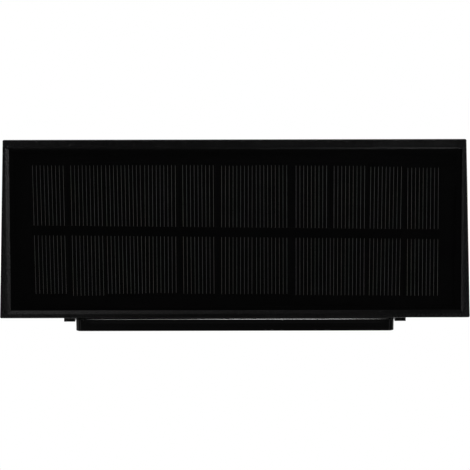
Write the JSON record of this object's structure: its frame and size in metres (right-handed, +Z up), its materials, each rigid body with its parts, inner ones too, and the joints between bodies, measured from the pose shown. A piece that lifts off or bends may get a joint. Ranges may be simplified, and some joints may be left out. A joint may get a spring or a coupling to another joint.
{
  "type": "solar fence light",
  "caption": "Wedge-shaped solar fence light: panel in a wide black rim, frosted lamp window underneath, hung on a screw-on fence bracket.",
  "frame": {"origin": "centre of the bracket's back face, on the fence", "axes": "X along the fence, +Y into the fence, +Z up"},
  "size_m": [0.1894, 0.078, 0.054],
  "materials": {
    "moulded_black": "fine spark-eroded texture",
    "bracket_black": "smooth, slightly glossy",
    "backboard_black": "solder-resist coated board",
    "solar_cell": "dark silicon with fine silver fingers",
    "tinned_strip": "tinned copper",
    "black_film": "black film",
    "panel_cover": "clear cast cover, satin surface",
    "sealant": "cured black sealant",
    "adhesive": "white foam tape",
    "soft_black": "moulded soft ring",
    "screw_steel": "stainless steel",
    "frosted_lens": "frosted, light-diffusing",
    "silicone_grey": "grey silicone",
    "white_plastic": "white reflector",
    "white_board": "white solder resist",
    "green_board": "green solder resist",
    "led_package": "yellow phosphor in a white package",
    "board_component": "chips, coil and capacitors",
    "socket_white": "natural nylon",
    "switch_black": "switch body",
    "plunger_white": "switch plunger",
    "button_black": "smooth dished button",
    "can_steel": "nickel-plated steel",
    "battery_film": "plain blue shrunk film",
    "contact_metal": "nickel-plated brass strip",
    "lead_jacket": "thin wire insulation"
  },
  "bodies": {
    "bracket": {"fence_bracket": "bracket_black"},
    "lamp": {"housing": "moulded_black", "solar_backboard": "backboard_black", "solar_cells": "solar_cell", "cell_ribbons": "tinned_strip", "ribbon_mask": "black_film", "panel_cover": "panel_cover", "panel_sealant": "sealant", "panel_adhesive": "adhesive", "lead_grommet": "soft_black", "base_cover": "moulded_black", "base_gasket": "soft_black", "base_screws": "screw_steel", "lens": "frosted_lens", "lens_gasket": "silicone_grey", "reflector_tray": "white_plastic", "led_board": "white_board", "leds": "led_package", "led_screws": "screw_steel", "control_board": "green_board", "board_parts": "board_component", "board_sockets": "socket_white", "board_screws": "screw_steel", "switch_body": "switch_black", "button_seal": "silicone_grey", "battery_cell": "can_steel", "battery_sleeve": "battery_film", "battery_cradle": "moulded_black", "battery_spring": "contact_metal", "battery_contact": "contact_metal", "panel_leads": "lead_jacket", "battery_leads": "lead_jacket", "led_leads": "lead_jacket"},
    "button": {"button_cap": "button_black", "switch_plunger": "plunger_white"}
  },
  "joints": [
    {"name": "lamp_lift", "type": "slide", "parent": "bracket", "child": "lamp", "axis": [0, 0, 1], "range_m": [0, 0.007]},
    {"name": "button_press", "type": "slide", "parent": "lamp", "child": "button", "axis": [0, 0, 1], "range_m": [0, 0.0012], "stiffness_N_per_m": 800, "springref_m": -0.001}
  ]
}
